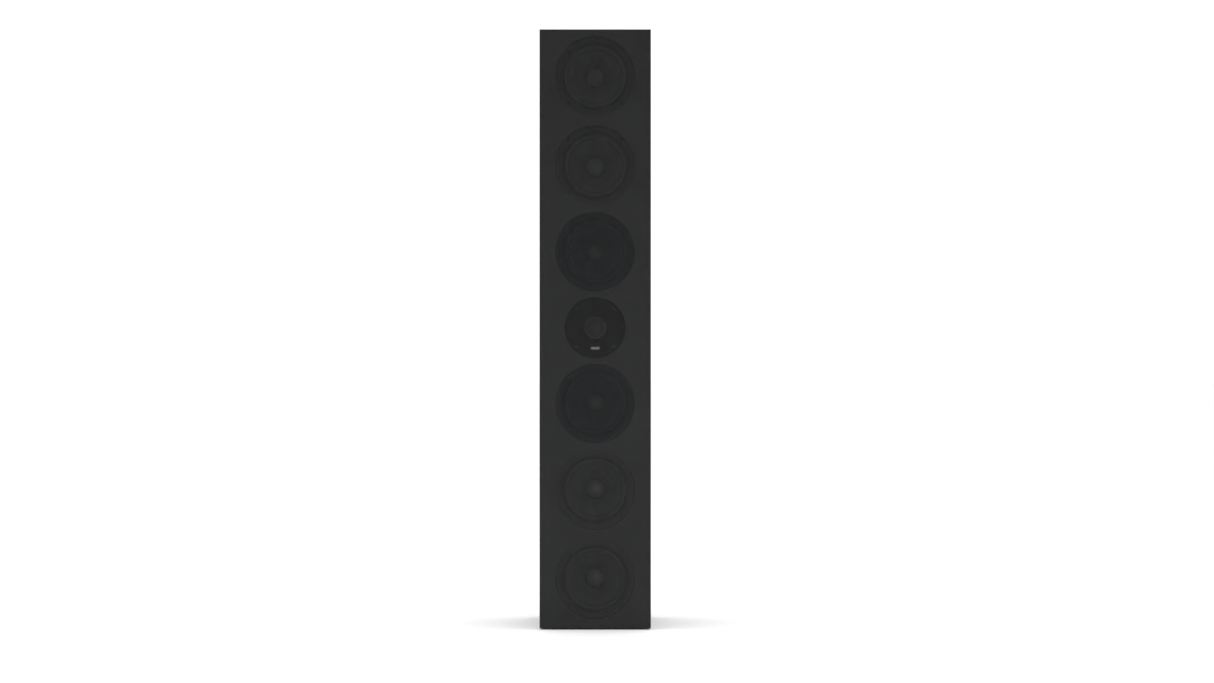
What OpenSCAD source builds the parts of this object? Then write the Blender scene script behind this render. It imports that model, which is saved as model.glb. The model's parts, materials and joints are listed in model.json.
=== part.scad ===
// Floorstanding loudspeaker: a slim column with four woofers, two midranges
// and a dome tweeter in one vertical line behind a full-height cloth grille.
//
// Frame: +Z up, the grille faces -Y, the origin is on the floor below the
// middle of the column. Millimetres.

/* [Cabinet] */
// Width of the column
cab_w = 188; // [184:1:200]
// Depth of the column, from the grille cloth to the terminal plate
cab_d = 240; // [230:2:300]
// Height of the column, feet included
cab_h = 1014; // [1012:1:1040]
// Thickness of the side, top, bottom and back panels
wall = 15; // [13:1:16]
// Thickness of the front baffle
baffle_t = 18; // [18:1:20]
// Height of the feet below the base
foot_proud = 2; // [1:0.5:4]

/* [Driver line] */
// Height of the tweeter above the floor
tweeter_z = 510; // [508:1:514]
// Distance from the tweeter to each midrange
mid_pitch = 128; // [126:1:130]
// Distance from each midrange to the inner woofer beside it
inner_pitch = 146; // [144:1:147]
// Distance from each inner woofer to the outer woofer beside it
outer_pitch = 151; // [149:1:152]

/* [Cone drivers] */
// Diameter of the woofer and midrange frames
frame_d = 134; // [133:0.5:135]
// Depth of the flange, set flush in the baffle
flange_t = 6; // [5.5:0.5:6.5]
// Height of the woofer dust cap
woofer_cap_h = 7; // [5:0.5:8]
// Height of the midrange dust cap
mid_cap_h = 4; // [3:0.5:5]
// Diameter of the ring magnet
magnet_d = 80; // [76:1:82]

/* [Tweeter] */
// Diameter of the faceplate
plate_d = 103; // [101:0.5:104]
// Diameter of the round guard over the dome
guard_d = 37.4; // [36:0.2:37.4]
// Diameter of the holes in the guard
guard_hole_d = 1.7; // [1.4:0.1:1.8]

/* [Grille] */
// Thickness of the grille frame
grille_t = 11.3; // [9:0.1:12]
// Thickness of the cloth
cloth_t = 0.7; // [0.4:0.1:1]
// Gap between the grille and the baffle
grille_gap = 0.3; // [0.2:0.1:1]

/* [Rear] */
// Height of the terminal cup above the floor
cup_z = 92; // [88:1:96]
// Distance between the two terminals
post_pitch = 40; // [36:1:44]
// Inner diameter of the bass ports
port_d = 48; // [44:1:50]
// Length of the straight part of each port
port_len = 94; // [60:2:100]

/* [Hidden] */
$fn = 96;

// faces of the column, front to back
cloth_y = -cab_d / 2;
frame_y = cloth_y + cloth_t;
frame_back_y = frame_y + grille_t;
baffle_y = frame_back_y + cloth_t + grille_gap;
baffle_back_y = baffle_y + baffle_t;
rear_y = cab_d / 2 - 2;
back_in_y = rear_y - wall;
base_z = foot_proud;
floor_z = base_z + wall;
roof_z = cab_h - wall;
half_w = cab_w / 2;
inner_w = half_w - wall;

// driver heights, top to bottom
mid_1_z = tweeter_z + mid_pitch;
mid_2_z = tweeter_z - mid_pitch;
woofer_2_z = mid_1_z + inner_pitch;
woofer_1_z = woofer_2_z + outer_pitch;
woofer_3_z = mid_2_z - inner_pitch;
woofer_4_z = woofer_3_z - outer_pitch;
cone_zs = [woofer_1_z, woofer_2_z, mid_1_z, mid_2_z, woofer_3_z, woofer_4_z];

// shelves: two solid dividers close off the midrange chamber, two braces have windows
divider_zs = [(woofer_2_z + mid_1_z) / 2, (woofer_3_z + mid_2_z) / 2];
brace_zs = [(woofer_1_z + woofer_2_z) / 2, (woofer_3_z + woofer_4_z) / 2];
divider_t = 15;
brace_t = 12;
dado = 3;
wire_hole = [-52, 60.25];

// cone driver, measured from the baffle face (front is +z)
frame_r = frame_d / 2;
seat_r = frame_r - 7.4;
seat_z = -4.5;
roll_out = 55;
roll_in = 45;
gasket_t = 1;
screw_r = frame_r - 3.7;
cone_out = 43;
neck_r = 13.05;
neck_z = -28;
magnet_r = magnet_d / 2;

// tweeter, measured from the baffle face
plate_r = plate_d / 2;
plate_t = 4;
plate_screw_r = plate_r - 7;
guard_r = guard_d / 2;

// grille magnets: mirrored pairs in the frame and the baffle
magnet_spots = [for (x = [-1, 1], z = [30, 309, 711, 990]) [x * (half_w - 10), z]];

port_r = port_d / 2;
port_zs = [woofer_2_z, woofer_3_z];
flare = 12;
port_wall = 2.5;
port_flange_r = port_r + flare + 11;
port_screw_r = port_r + flare + 6;

foot_spots = [for (x = [-62, 62], y = [-72, 86]) [x, y]];
insert_spots = [for (x = [-40, 40], y = [-72, 86]) [x, y]];
cup_screw_spots = [for (x = [-50, 50], z = [-37, 37]) [x, z]];
board_z = floor_z + 6;
board_top = board_z + 1.6;
board_corners = [for (x = [-55, 55], y = [-20, 70]) [x, y]];

// thread pitch of the terminal posts
post_pitch_thread = 0.8;

// ---------------------------------------------------------------- helpers

// local +z becomes the front (-Y), origin on the baffle face
module facing(z) translate([0, baffle_y, z]) rotate([90, 0, 0]) children();

// local +z becomes the back (+Y), origin on the back panel's outer face
module rearward(x, z) translate([x, rear_y, z]) rotate([-90, 0, 0]) children();

module ring(r_out, r_in, z0, z1)
  rotate_extrude()
    polygon([[r_in, z0], [r_out, z0], [r_out, z1], [r_in, z1]]);

module rounded_rect(w, h, r) {
  square([w - 2 * r, h], center = true);
  square([w, h - 2 * r], center = true);
  for (x = [-1, 1], y = [-1, 1])
    translate([x * (w / 2 - r), y * (h / 2 - r)]) circle(r, $fn = 48);
}

function unit(v) = v / norm(v);

// a polyline with its corners eased by short quadratic bends
function eased(p, r, k = 4) = concat(
  [p[0]],
  [for (i = [1:len(p) - 2], j = [0:k])
    let (a = p[i] - r * unit(p[i] - p[i - 1]), b = p[i] + r * unit(p[i + 1] - p[i]), t = j / k)
      a * (1 - t) * (1 - t) + p[i] * 2 * t * (1 - t) + b * t * t],
  [p[len(p) - 1]]);

// a round tube of radius r along the points p
module tube(p, r, n = 8) {
  m = len(p);
  ref = unit([0.83, 0.31, 0.46]);
  pts = [for (i = [0:m - 1])
    let (t = unit(p[min(i + 1, m - 1)] - p[max(i - 1, 0)]), u = unit(cross(ref, t)), v = cross(t, u))
      for (j = [0:n - 1]) p[i] + r * (cos(360 * j / n) * u + sin(360 * j / n) * v)];
  faces = concat(
    [[for (j = [0:n - 1]) j]],
    [for (i = [0:m - 2], j = [0:n - 1]) [i * n + j, (i + 1) * n + (j + 1) % n, i * n + (j + 1) % n]],
    [for (i = [0:m - 2], j = [0:n - 1]) [i * n + j, (i + 1) * n + j, (i + 1) * n + (j + 1) % n]],
    [[for (j = [n - 1:-1:0]) (m - 1) * n + j]]);
  polyhedron(points = pts, faces = faces);
}

// pan-head screw, head seat at z = 0, shank along -z
module pan_screw(len) difference() {
  union() {
    cylinder(r = 3, h = 1.5);
    translate([0, 0, 1.5]) cylinder(r1 = 3, r2 = 2.3, h = 0.5);
    translate([0, 0, -len]) cylinder(r = 1.7, h = len);
    translate([0, 0, -len - 2]) cylinder(r1 = 0.4, r2 = 1.7, h = 2);
  }
  translate([0, 0, 0.8]) cylinder(r = 1.44, h = 2, $fn = 6);
}

// countersunk screw, head face at z = 0, shank along -z
module flat_screw(len) difference() {
  union() {
    translate([0, 0, -1.6]) cylinder(r1 = 1.5, r2 = 3, h = 1.6);
    translate([0, 0, -len]) cylinder(r = 1.5, h = len - 1.6);
    translate([0, 0, -len - 2]) cylinder(r1 = 0.4, r2 = 1.5, h = 2);
  }
  for (a = [0, 90]) rotate(a) translate([-1.6, -0.35, -0.9]) cube([3.2, 0.7, 2]);
}

// the matching cut for a countersunk head in a sheet
module flat_screw_cut(depth) {
  translate([0, 0, -1.65]) cylinder(r1 = 1.6, r2 = 3.15, h = 1.7);
  translate([0, 0, -depth]) cylinder(r = 1.6, h = depth);
}

// ---------------------------------------------------------------- cabinet

module front_baffle() color([0.05, 0.05, 0.055]) difference() {
  translate([-half_w, baffle_y, base_z]) cube([cab_w, baffle_t, cab_h - base_z]);
  for (z = cone_zs) facing(z) {
    translate([0, 0, -flange_t - gasket_t]) cylinder(r = frame_r + 0.3, h = 20);
    translate([0, 0, -baffle_t - 1]) cylinder(r = 58.5, h = 20);
    translate([0, 0, -baffle_t - 0.01]) cylinder(r1 = 63.5, r2 = 58.5, h = 5);
    for (a = [45:90:315]) rotate(a) translate([screw_r, 0, -17]) cylinder(r = 1.75, h = 12);
  }
  facing(tweeter_z) {
    translate([0, 0, -plate_t - gasket_t]) cylinder(r = plate_r + 0.3, h = 20);
    translate([0, 0, -baffle_t - 1]) cylinder(r = 38, h = 20);
    for (a = [45:90:315]) rotate(a) translate([plate_screw_r, 0, -17.5]) cylinder(r = 1.75, h = 14);
  }
  for (s = magnet_spots) facing(s[1]) translate([s[0], 0, -3.1]) cylinder(r = 5.1, h = 5);
}

module side_panel(side) color([0.055, 0.055, 0.06]) difference() {
  translate([side > 0 ? inner_w : -half_w, baffle_back_y, base_z])
    cube([wall, back_in_y - baffle_back_y, cab_h - base_z]);
  for (z = divider_zs)
    translate([side * inner_w - dado - 0.1, baffle_back_y - 1, z - divider_t / 2 - 0.1])
      cube([2 * dado + 0.2, back_in_y - baffle_back_y + 2, divider_t + 0.2]);
  for (z = brace_zs)
    translate([side * inner_w - dado - 0.1, baffle_back_y - 1, z - brace_t / 2 - 0.1])
      cube([2 * dado + 0.2, back_in_y - baffle_back_y + 2, brace_t + 0.2]);
}

module top_panel() color([0.055, 0.055, 0.06])
  translate([-inner_w, baffle_back_y, roof_z]) cube([2 * inner_w, back_in_y - baffle_back_y, wall]);

module bottom_panel() color([0.055, 0.055, 0.06]) difference() {
  translate([-inner_w, baffle_back_y, base_z]) cube([2 * inner_w, back_in_y - baffle_back_y, wall]);
  for (s = foot_spots) translate([s[0], s[1], base_z]) {
    translate([0, 0, -1]) cylinder(r = 14.3, h = 4);
    cylinder(r = 1.6, h = 13);
  }
  for (s = insert_spots) translate([s[0], s[1], base_z - 1]) cylinder(r = 4.05, h = 13.2);
}

module back_panel() color([0.055, 0.055, 0.06]) difference() {
  translate([-half_w, back_in_y, base_z]) cube([cab_w, wall, cab_h - base_z]);
  for (z = port_zs) rearward(0, z) {
    translate([0, 0, -wall - 1]) cylinder(r = port_r + flare + 3, h = wall + 2);
    for (a = [45:90:315]) rotate(a) translate([port_screw_r, 0, -13]) cylinder(r = 1.6, h = 14);
  }
  rearward(0, cup_z) {
    translate([0, 0, -wall - 1]) linear_extrude(wall + 2) rounded_rect(90, 64, 9);
    for (s = cup_screw_spots) translate([s[0], s[1], -13]) cylinder(r = 1.6, h = 14);
  }
}

module shelf_blank(t) difference() {
  translate([-inner_w - dado, baffle_back_y + 0.1, -t / 2])
    cube([2 * (inner_w + dado), back_in_y - baffle_back_y - 0.2, t]);
  translate([wire_hole[0], wire_hole[1], -t]) cylinder(r = 10, h = 2 * t);
}

module dividers_and_braces() color([0.62, 0.5, 0.36]) {
  for (z = divider_zs) translate([0, 0, z]) shelf_blank(divider_t);
  for (z = brace_zs) translate([0, 0, z]) difference() {
    shelf_blank(brace_t);
    for (p = [[-30, -35], [38, -35], [38, 48]])
      translate([p[0], p[1], -brace_t]) cylinder(r = 29, h = 2 * brace_t);
  }
}

module damping_pads() color([0.75, 0.75, 0.72])
  for (side = [-1, 1], span = [
      [floor_z + 3, brace_zs[1] - brace_t / 2 - 3],
      [brace_zs[1] + brace_t / 2 + 3, divider_zs[1] - divider_t / 2 - 3],
      [divider_zs[1] + divider_t / 2 + 3, divider_zs[0] - divider_t / 2 - 3],
      [divider_zs[0] + divider_t / 2 + 3, brace_zs[0] - brace_t / 2 - 3],
      [brace_zs[0] + brace_t / 2 + 3, roof_z - 3]])
    translate([side > 0 ? inner_w - 12.4 : 0.4 - inner_w, -40, span[0]])
      cube([12, back_in_y + 32, span[1] - span[0]]);

// flared tube: flange and mouth at the back, straight bore behind it
module bass_port() difference() {
  rotate_extrude() polygon(concat(
    [[port_flange_r, 0], [port_flange_r, 1.4], [port_flange_r - 0.6, 2]],
    [for (a = [90:-7.5:0]) [port_r + flare - flare * cos(a), 2 - flare + flare * sin(a)]],
    [[port_r, 2 - flare - port_len], [port_r + port_wall, 2 - flare - port_len]],
    [for (a = [0:7.5:90]) [port_r + flare - (flare - port_wall) * cos(a), 2 - flare + (flare - port_wall) * sin(a)]],
    [[port_r + flare + 2.6, 2 - port_wall], [port_r + flare + 2.6, 0]]));
  for (a = [45:90:315]) rotate(a) translate([port_screw_r, 0, 2]) flat_screw_cut(4);
}

module bass_ports() color([0.07, 0.07, 0.07])
  for (z = port_zs) rearward(0, z) bass_port();

// ---------------------------------------------------------------- terminals

module terminal_cup() color([0.06, 0.06, 0.06]) rearward(0, cup_z) difference() {
  union() {
    linear_extrude(2) rounded_rect(112, 86, 9);
    translate([0, 0, -21]) linear_extrude(21.5) rounded_rect(89, 63, 8.5);
  }
  translate([0, 0, -18]) linear_extrude(30) rounded_rect(84, 58, 6);
  for (x = [-1, 1]) translate([x * post_pitch / 2, 0, -25]) cylinder(r = 3.05, h = 10);
  for (s = cup_screw_spots) translate([s[0], s[1], 2]) flat_screw_cut(4);
}

module terminal_studs() color([0.83, 0.68, 0.35])
  for (x = [-1, 1]) rearward(x * post_pitch / 2, cup_z) difference() {
    union() {
      translate([0, 0, -31]) cylinder(r = 3, h = 29.8);
      translate([0, 0, -18]) cylinder(r = 7.2, h = 3);
    }
    translate([0, 0, -17]) cylinder(r = 2, h = 20);
    translate([0, 10, -12.5]) rotate([90, 0, 0]) cylinder(r = 1.4, h = 20);
  }

module terminal_nuts() color([0.8, 0.8, 0.82])
  for (x = [-1, 1]) rearward(x * post_pitch / 2, cup_z) {
    translate([0, 0, -22]) ring(7, 3.06, 0, 0.9);
    translate([0, 0, -26]) difference() {
      cylinder(r = 5.2, h = 3.9, $fn = 6);
      translate([0, 0, -1]) cylinder(r = 3.06, h = 8);
    }
  }

module post_insert(x) color([0.83, 0.68, 0.35])
  rearward(x, cup_z) ring(4.69, 3.05, -14, -3.2);

module post_cap(x) rearward(x, cup_z) difference() {
  union() {
    translate([0, 0, -14.8]) linear_extrude(13) difference() {
      circle(8);
      for (a = [0:20:340]) rotate(a) translate([8.35, 0]) circle(0.95, $fn = 24);
    }
    translate([0, 0, -1.8]) cylinder(r1 = 7.4, r2 = 6.4, h = 1.8);
  }
  translate([0, 0, -16]) cylinder(r = 4.75, h = 13);
  translate([0, 0, -5]) cylinder(r = 3.35, h = 8);
}

// ---------------------------------------------------------------- crossover and wiring

module crossover_board() color([0.1, 0.3, 0.16]) {
  difference() {
    translate([-60, -25, board_z]) cube([120, 100, 1.6]);
    for (s = board_corners) translate([s[0], s[1], board_z - 1]) cylinder(r = 1.7, h = 4);
  }
  for (s = board_corners) translate([s[0], s[1], floor_z]) difference() {
    cylinder(r = 3.4, h = 5.9);
    translate([0, 0, -1]) cylinder(r = 1.7, h = 8);
  }
}

module crossover_inductors() color([0.72, 0.4, 0.2])
  for (c = [[-34, 0, 19], [8, 0, 19], [43, -3, 13]])
    translate([c[0], c[1], board_top + 0.1]) rotate_extrude() polygon([
      [c[2] * 0.42, 0], [c[2], 0], [c[2], 15], [c[2] * 0.42, 15]]);

module crossover_capacitors() color([0.75, 0.62, 0.12])
  for (c = [[-38, 34], [4, 34], [-38, 55], [4, 55]])
    translate([c[0], c[1], board_top + 9.1]) rotate([0, 90, 0]) union() {
      cylinder(r = 9, h = 34);
      translate([0, 0, -2]) cylinder(r = 0.5, h = 38);
    }

module crossover_resistors() color([0.85, 0.85, 0.8]) {
  translate([47.5, 26, board_top + 0.1]) cube([9, 30, 9]);
  translate([-55.5, 24, board_top + 0.1]) cube([9, 22, 9]);
  translate([-15, 65, board_top + 0.1]) cube([30, 8, 8]);
}

// column of the bundle and landing point for each driver's pair of leads
leads = [
  [-58, 62.5, woofer_1_z, -46.4, -64], [-54, 62.5, woofer_2_z, -46.4, -64],
  [-50, 62.5, mid_1_z, -46.4, -64], [-58, 58, tweeter_z, -32.4, -70],
  [-54, 58, mid_2_z, -46.4, -64], [-50, 58, woofer_3_z, -46.4, -64],
  [-46, 58, woofer_4_z, -46.4, -64]];

module internal_wiring() color([0.6, 0.12, 0.1]) {
  for (w = leads) tube(eased([
    [w[0], w[1], board_top + 0.2], [w[0], w[1], w[2]],
    [w[0], -30, w[2]], [w[3], w[4], w[2]]], 12), 1.4);
  for (x = [-1, 1]) tube(eased([
    [x * post_pitch / 2, rear_y - 31.3, cup_z], [x * post_pitch / 2, 76, cup_z],
    [x * post_pitch / 2, 70, 60], [x * 26, 70, board_top + 0.2]], 8), 1.4);
}

// ---------------------------------------------------------------- base

module rubber_feet() color([0.05, 0.05, 0.05])
  for (s = foot_spots) translate([s[0], s[1], 0]) rotate_extrude() polygon([
    [4.4, 0], [13, 0], [14, 1], [14, foot_proud + 2.9], [1.8, foot_proud + 2.9],
    [1.8, foot_proud + 0.5], [4.4, foot_proud + 0.5]]);

module plinth_inserts() color([0.8, 0.65, 0.35])
  for (s = insert_spots) translate([s[0], s[1], base_z]) ring(4, 2.5, 0, 12);

module countersunk_screws() color([0.16, 0.16, 0.17]) {
  rearward(0, cup_z) for (s = cup_screw_spots) translate([s[0], s[1], 2]) flat_screw(11);
  for (z = port_zs) rearward(0, z)
    for (a = [45:90:315]) rotate(a) translate([port_screw_r, 0, 2]) flat_screw(11);
  for (s = foot_spots) translate([s[0], s[1], foot_proud - 1.2]) rotate([180, 0, 0]) flat_screw(10);
  for (s = board_corners) translate([s[0], s[1], board_top + 1.8]) flat_screw(7);
}

// ---------------------------------------------------------------- grille

module baffle_magnets() color([0.7, 0.7, 0.72])
  for (s = magnet_spots) facing(s[1]) translate([s[0], 0, -3]) cylinder(r = 5, h = 3);

module grille_magnets() color([0.7, 0.7, 0.72])
  for (s = magnet_spots) translate([s[0], frame_back_y, s[1]]) rotate([90, 0, 0]) cylinder(r = 5, h = 3);

module grille_frame() color([0.06, 0.06, 0.06]) difference() {
  translate([-half_w + 0.5, frame_y, base_z + 1]) cube([cab_w - 1, grille_t, cab_h - base_z - 2]);
  for (z = cone_zs) translate([0, frame_back_y, z]) rotate([90, 0, 0]) {
    translate([0, 0, -1]) cylinder(r = frame_r, h = grille_t + 2);
    translate([0, 0, -0.01]) cylinder(r1 = frame_r + 2.5, r2 = frame_r, h = 4);
  }
  translate([0, frame_back_y, tweeter_z]) rotate([90, 0, 0]) {
    translate([0, 0, -1]) cylinder(r = plate_r, h = grille_t + 2);
    translate([0, 0, -0.01]) cylinder(r1 = plate_r + 2.5, r2 = plate_r, h = 4);
  }
  for (s = magnet_spots) translate([s[0], frame_back_y + 1, s[1]]) rotate([90, 0, 0]) cylinder(r = 5.1, h = 4.1);
}

module grille_cloth() color([0.1, 0.1, 0.1])
  translate([-half_w, cloth_y, base_z + 0.5]) cube([cab_w, cloth_t, cab_h - base_z - 1]);

// ---------------------------------------------------------------- fixed driver parts

module screw_ring(r) for (a = [45:90:315]) rotate(a) translate([r, 0, 0]) children();

module driver_screws() color([0.1, 0.1, 0.1]) {
  for (z = cone_zs) facing(z) screw_ring(screw_r) translate([0, 0, -2.6]) pan_screw(12);
  facing(tweeter_z) screw_ring(plate_screw_r) translate([0, 0, -2.2]) pan_screw(12);
}

module driver_gaskets() color([0.12, 0.12, 0.12]) {
  for (z = cone_zs) facing(z) difference() {
    ring(frame_r - 0.4, 59, -flange_t - gasket_t, -flange_t);
    screw_ring(screw_r) translate([0, 0, -10]) cylinder(r = 2.1, h = 10);
  }
  facing(tweeter_z) difference() {
    ring(plate_r - 0.4, 38.4, -plate_t - gasket_t, -plate_t);
    screw_ring(plate_screw_r) translate([0, 0, -10]) cylinder(r = 2.1, h = 10);
  }
}

// cast frame: flush flange, surround seat, six legs, spider ledge and a floor
module basket() difference() {
  rotate_extrude() polygon([
    [57.6, -flange_t], [57.6, -11], [44, -44], [44, -48], [20, -48], [20, -46],
    [40.5, -46], [40.5, -41], [36, -41], [36, -39], [41.8, -39], [54.6, -10],
    [54.6, seat_z], [seat_r, seat_z], [seat_r, -0.4], [seat_r + 0.4, 0],
    [frame_r - 0.5, 0], [frame_r, -0.5], [frame_r, -flange_t]]);
  for (a = [0:60:300]) rotate(a) translate([0, 0, -37])
    linear_extrude(24) polygon([[0, 0], [64 * cos(20), -64 * sin(20)], [64 * cos(20), 64 * sin(20)]]);
  screw_ring(screw_r) {
    translate([0, 0, -2.6]) cylinder(r = 3.3, h = 4);
    translate([0, 0, -10]) cylinder(r = 2.1, h = 12);
  }
}

module driver_baskets() color([0.09, 0.09, 0.09]) for (z = cone_zs) facing(z) basket();

module driver_top_plates() color([0.6, 0.6, 0.62]) {
  for (z = cone_zs) facing(z) ring(36, 14.1, -53, -48);
  facing(tweeter_z) ring(34, 14.9, -12, -8);
}

module driver_magnets() color([0.15, 0.15, 0.16]) {
  for (z = cone_zs) facing(z) rotate_extrude() polygon([
    [18, -68], [magnet_r - 1, -68], [magnet_r, -67], [magnet_r, -54], [magnet_r - 1, -53], [18, -53]]);
  facing(tweeter_z) rotate_extrude() polygon([
    [17, -22], [35.4, -22], [36, -21.4], [36, -12.6], [35.4, -12], [17, -12]]);
}

module driver_yokes() color([0.6, 0.6, 0.62]) {
  for (z = cone_zs) facing(z) rotate_extrude() polygon([
    [4, -73], [35, -73], [36, -72], [36, -68], [12.1, -68], [12.1, -47], [4, -47]]);
  facing(tweeter_z) rotate_extrude() polygon([
    [4.5, -26], [33, -26], [33, -22], [13.2, -22], [13.2, -8.2], [4.5, -8.2]]);
}

// corrugated centring disc between the coil former and the frame's ledge
module spider() rotate_extrude() polygon(concat(
  [[13.1, -38.9], [15, -38.9]],
  [for (r = [16:1:34]) [r, -38.9 - 1.1 * sin((r - 15) * 90)]],
  [[35, -38.9], [41.2, -38.95], [41.2, -38.35], [35, -38.3]],
  [for (r = [34:-1:16]) [r, -38.3 - 1.1 * sin((r - 15) * 90)]],
  [[15, -38.3], [13.1, -38.3]]));

module driver_spiders() color([0.78, 0.62, 0.3]) for (z = cone_zs) facing(z) spider();

// half-roll edge between the cone and the frame
module surround() rotate_extrude() polygon(concat(
  [[seat_r - 0.3, seat_z], [seat_r - 0.3, seat_z + 0.8]],
  [for (a = [0:12:180]) [50 + 5 * cos(a), seat_z + 0.8 + 5 * sin(a)]],
  [[cone_out, seat_z + 0.8], [cone_out, seat_z]],
  [for (a = [180:-12:0]) [50 + 4.2 * cos(a), seat_z + 5 * sin(a)]]));

module driver_surrounds() color([0.06, 0.06, 0.06]) {
  for (z = cone_zs) facing(z) surround();
  facing(tweeter_z) rotate_extrude() polygon(concat(
    [[20, -8], [20, -7.6]],
    [for (a = [0:20:180]) [15.65 + 1.45 * cos(a), -7.6 + 1.2 * sin(a)]],
    [for (a = [180:-20:0]) [15.65 + 1.15 * cos(a), -7.9 + 1.2 * sin(a)]]));
}

// ---------------------------------------------------------------- tweeter

module tweeter_faceplate() color([0.05, 0.05, 0.05]) facing(tweeter_z) difference() {
  rotate_extrude() polygon([
    [17.2, -plate_t], [17.2, -1.4], [guard_r + 0.2, -1.4], [guard_r + 0.2, -0.5], [26, 0],
    [plate_r - 0.5, 0], [plate_r, -0.5], [plate_r, -plate_t],
    [34, -plate_t], [34, -8], [22, -8], [22, -plate_t]]);
  screw_ring(plate_screw_r) {
    translate([0, 0, -2.2]) cylinder(r = 3.3, h = 4);
    translate([0, 0, -10]) cylinder(r = 2.1, h = 12);
  }
}

module tweeter_guard() color([0.12, 0.12, 0.12]) facing(tweeter_z)
  translate([0, 0, -1.4]) linear_extrude(0.6) difference() {
    circle(guard_r);
    for (i = [-7:7], j = [-7:7])
      let (x = (i + (abs(j) % 2) / 2) * 2.5, y = j * 2.165)
        if (norm([x, y]) < guard_r - 2.2) translate([x, y]) circle(d = guard_hole_d, $fn = 16);
  }

module tweeter_rear_chamber() color([0.08, 0.08, 0.08]) facing(tweeter_z) rotate_extrude()
  polygon([[28, -26], [30, -26], [30, -49], [29, -50], [0, -50], [0, -48], [28, -48]]);

module tweeter_dome() color([0.1, 0.1, 0.11]) facing(tweeter_z) rotate_extrude() polygon(concat(
  [[14.1, -7.9], [14.1, -7.5]],
  [for (a = [0:7.5:90]) [13.9 * cos(a), -7.5 + 5 * sin(a)]],
  [for (a = [90:-7.5:0]) [13.55 * cos(a), -7.9 + 5 * sin(a)]]));

module tweeter_voice_coil() color([0.72, 0.4, 0.2]) facing(tweeter_z) rotate_extrude()
  polygon([[13.7, -13], [14.5, -13], [14.5, -10.5], [14, -10.5], [14, -7.95], [13.7, -7.95]]);

module badge_plate() color([0.75, 0.75, 0.77]) facing(tweeter_z)
  translate([0, -34.7, 0.02]) linear_extrude(0.5) rounded_rect(14.5, 4.4, 1.2);

// ---------------------------------------------------------------- moving driver parts

function cone_z(r) = seat_z - 0.05 - (seat_z + neck_z * -1) * pow((cone_out - r) / (cone_out - neck_r), 1.2);

module cone(z) color([0.07, 0.07, 0.075]) facing(z) rotate_extrude() polygon(concat(
  [[46, seat_z - 1.05], [46, seat_z - 0.05]],
  [for (k = [0:12]) let (r = cone_out - (cone_out - neck_r) * k / 12) [r, cone_z(r)]],
  [for (k = [12:-1:0]) let (r = cone_out - (cone_out - neck_r) * k / 12) [r, cone_z(r) - 1.2]]));

module dust_cap(z, r, h) color([0.09, 0.09, 0.095]) facing(z) let (base = cone_z(r) + 0.1)
  rotate_extrude() polygon(concat(
    [for (a = [0:7.5:90]) [r * cos(a), base + h * sin(a)]],
    [for (a = [90:-7.5:0]) [(r - 0.9) * cos(a), base + (h - 0.8) * sin(a)]]));

module voice_coil(z) color([0.72, 0.4, 0.2]) facing(z) rotate_extrude()
  polygon([[12.6, -56], [13.6, -56], [13.6, -44], [13, -44], [13, -26.5], [12.6, -26.5]]);

// ---------------------------------------------------------------- nodes

front_baffle();
side_panel(-1);  // side_panel_left
side_panel(1);  // side_panel_right
top_panel();
bottom_panel();
back_panel();
dividers_and_braces();
damping_pads();
bass_ports();
terminal_cup();
terminal_studs();
terminal_nuts();
post_insert(-post_pitch / 2);  // red_post_insert
color([0.7, 0.05, 0.05]) post_cap(-post_pitch / 2);  // red_post_cap
post_insert(post_pitch / 2);  // black_post_insert
color([0.06, 0.06, 0.06]) post_cap(post_pitch / 2);  // black_post_cap
crossover_board();
crossover_inductors();
crossover_capacitors();
crossover_resistors();
internal_wiring();
rubber_feet();
plinth_inserts();
countersunk_screws();
baffle_magnets();
grille_frame();
grille_cloth();
grille_magnets();
driver_screws();
driver_gaskets();
driver_baskets();
driver_top_plates();
driver_magnets();
driver_yokes();
driver_spiders();
driver_surrounds();
tweeter_faceplate();
tweeter_guard();
tweeter_rear_chamber();
tweeter_dome();
tweeter_voice_coil();
badge_plate();
cone(woofer_1_z);  // woofer_1_cone
dust_cap(woofer_1_z, 18, woofer_cap_h);  // woofer_1_dust_cap
voice_coil(woofer_1_z);  // woofer_1_voice_coil
cone(woofer_2_z);  // woofer_2_cone
dust_cap(woofer_2_z, 18, woofer_cap_h);  // woofer_2_dust_cap
voice_coil(woofer_2_z);  // woofer_2_voice_coil
cone(mid_1_z);  // midrange_1_cone
dust_cap(mid_1_z, 15, mid_cap_h);  // midrange_1_dust_cap
voice_coil(mid_1_z);  // midrange_1_voice_coil
cone(mid_2_z);  // midrange_2_cone
dust_cap(mid_2_z, 15, mid_cap_h);  // midrange_2_dust_cap
voice_coil(mid_2_z);  // midrange_2_voice_coil
cone(woofer_3_z);  // woofer_3_cone
dust_cap(woofer_3_z, 18, woofer_cap_h);  // woofer_3_dust_cap
voice_coil(woofer_3_z);  // woofer_3_voice_coil
cone(woofer_4_z);  // woofer_4_cone
dust_cap(woofer_4_z, 18, woofer_cap_h);  // woofer_4_dust_cap
voice_coil(woofer_4_z);  // woofer_4_voice_coil
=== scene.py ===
import json
import math

import bmesh
import bpy
import numpy as np
from mathutils import Matrix, Vector, noise


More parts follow.
